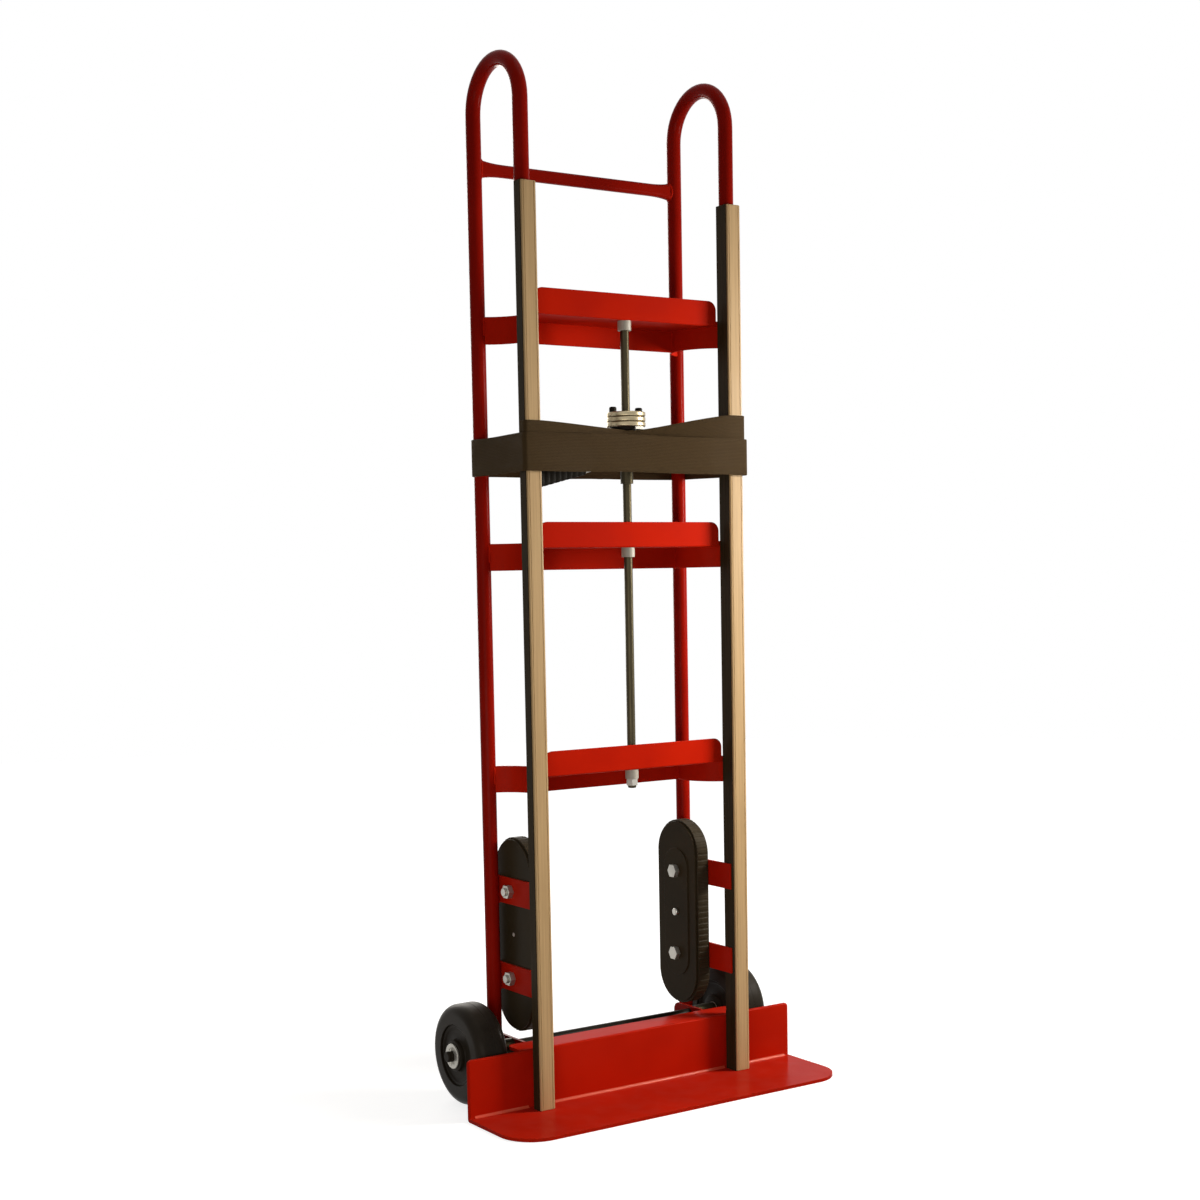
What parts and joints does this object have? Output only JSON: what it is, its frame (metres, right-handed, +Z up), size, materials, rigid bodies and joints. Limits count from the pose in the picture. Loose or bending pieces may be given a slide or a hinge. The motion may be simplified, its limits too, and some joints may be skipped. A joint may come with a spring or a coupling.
{
  "type": "hand truck",
  "caption": "Upright appliance hand truck with two bent tube side frames, a toe plate, padded rails, rear stair glides, wheels and a strap with a lever tightener on a rod.",
  "frame": {"origin": "on the floor, in the middle of the truck's width, under the front face of the back plate", "axes": "+X across the truck, -Y towards the load, +Z up along the rails"},
  "size_m": [0.59, 0.307, 1.524],
  "materials": {
    "red_frame_paint": "gloss red paint on steel tube",
    "red_toe_paint": "gloss red paint on steel sheet",
    "black_channel": "satin black extruded channel",
    "tan_pad": "matt tan rubber facing",
    "tyre_rubber": "smooth semi-gloss black rubber",
    "hub_plastic": "satin black moulding",
    "nylon": "dark nylon",
    "bright_steel": "ground steel bar",
    "zinc_plate": "zinc plated steel",
    "pale_brass_plate": "pale yellow zinc plate",
    "black_metal": "black oxide steel",
    "black_grip": "black moulded grip",
    "belt_rubber": "black rubber belt",
    "guide_plastic": "dark slippery plastic",
    "glide_plate_plastic": "satin black moulded plate",
    "strap_webbing": "dark brown woven webbing"
  },
  "bodies": {
    "frame": {"axle": "black_metal", "axle_spacers": "bright_steel", "axle_washers": "zinc_plate", "glide_bolts": "zinc_plate", "glide_nuts": "zinc_plate", "glide_screws": "zinc_plate", "guide_rod": "bright_steel", "left_axle_bracket": "red_frame_paint", "left_foot_plug": "nylon", "left_frame_tube": "red_frame_paint", "left_glide_belt": "belt_rubber", "left_glide_core": "guide_plastic", "left_glide_inner_plate": "glide_plate_plastic", "left_glide_outer_plate": "glide_plate_plastic", "left_glide_straps": "red_frame_paint", "left_rail_channel": "black_channel", "left_rail_pad": "tan_pad", "lower_cross_brace": "red_frame_paint", "middle_cross_brace": "red_frame_paint", "right_axle_bracket": "red_frame_paint", "right_foot_plug": "nylon", "right_frame_tube": "red_frame_paint", "right_glide_belt": "belt_rubber", "right_glide_core": "guide_plastic", "right_glide_inner_plate": "glide_plate_plastic", "right_glide_outer_plate": "glide_plate_plastic", "right_glide_straps": "red_frame_paint", "right_rail_channel": "black_channel", "right_rail_pad": "tan_pad", "rod_bushes": "nylon", "rod_nuts": "zinc_plate", "split_pins": "zinc_plate", "toe_plate": "red_toe_paint", "top_tie_bar": "red_frame_paint", "upper_cross_brace": "red_frame_paint"},
    "left_wheel": {"left_tyre": "tyre_rubber", "left_hub": "hub_plastic", "left_wheel_bush": "nylon"},
    "right_wheel": {"right_tyre": "tyre_rubber", "right_hub": "hub_plastic", "right_wheel_bush": "nylon"},
    "tightener": {"carrier_ring": "pale_brass_plate", "strap_loop": "strap_webbing", "strap_winding": "strap_webbing", "left_strap_run": "strap_webbing", "right_strap_run": "strap_webbing"},
    "spool": {"spool_sleeve": "bright_steel", "index_ring": "pale_brass_plate"},
    "lever": {"lever_ring": "pale_brass_plate", "lever_head": "black_metal", "pawl_box": "zinc_plate", "lever_arm": "zinc_plate", "lever_grip": "black_grip"},
    "left_plunger": {"left_plunger": "black_metal"},
    "right_plunger": {"right_plunger": "black_metal"}
  },
  "joints": [
    {"name": "left_wheel_spin", "type": "hinge", "parent": "frame", "child": "left_wheel", "pos_m": [0, 0.09, 0.075], "axis": [1, 0, 0], "continuous": true},
    {"name": "right_wheel_spin", "type": "hinge", "parent": "frame", "child": "right_wheel", "pos_m": [0, 0.09, 0.075], "axis": [1, 0, 0], "continuous": true},
    {"name": "tightener_slide", "type": "slide", "parent": "frame", "child": "tightener", "axis": [0, 0, 1], "range_m": [-0.055, 0.085]},
    {"name": "spool_turn", "type": "hinge", "parent": "tightener", "child": "spool", "pos_m": [0, 0.003, 0], "axis": [0, 0, 1], "continuous": true},
    {"name": "lever_swing", "type": "hinge", "parent": "tightener", "child": "lever", "pos_m": [0, 0.003, 0], "axis": [0, 0, -1], "range_deg": [0, 42]},
    {"name": "left_plunger_lift", "type": "slide", "parent": "tightener", "child": "left_plunger", "axis": [0, 0, 1], "range_m": [0, 0.004], "stiffness_N_per_m": 400, "springref_m": -0.002},
    {"name": "right_plunger_lift", "type": "slide", "parent": "tightener", "child": "right_plunger", "axis": [0, 0, 1], "range_m": [0, 0.004], "stiffness_N_per_m": 400, "springref_m": -0.002}
  ]
}
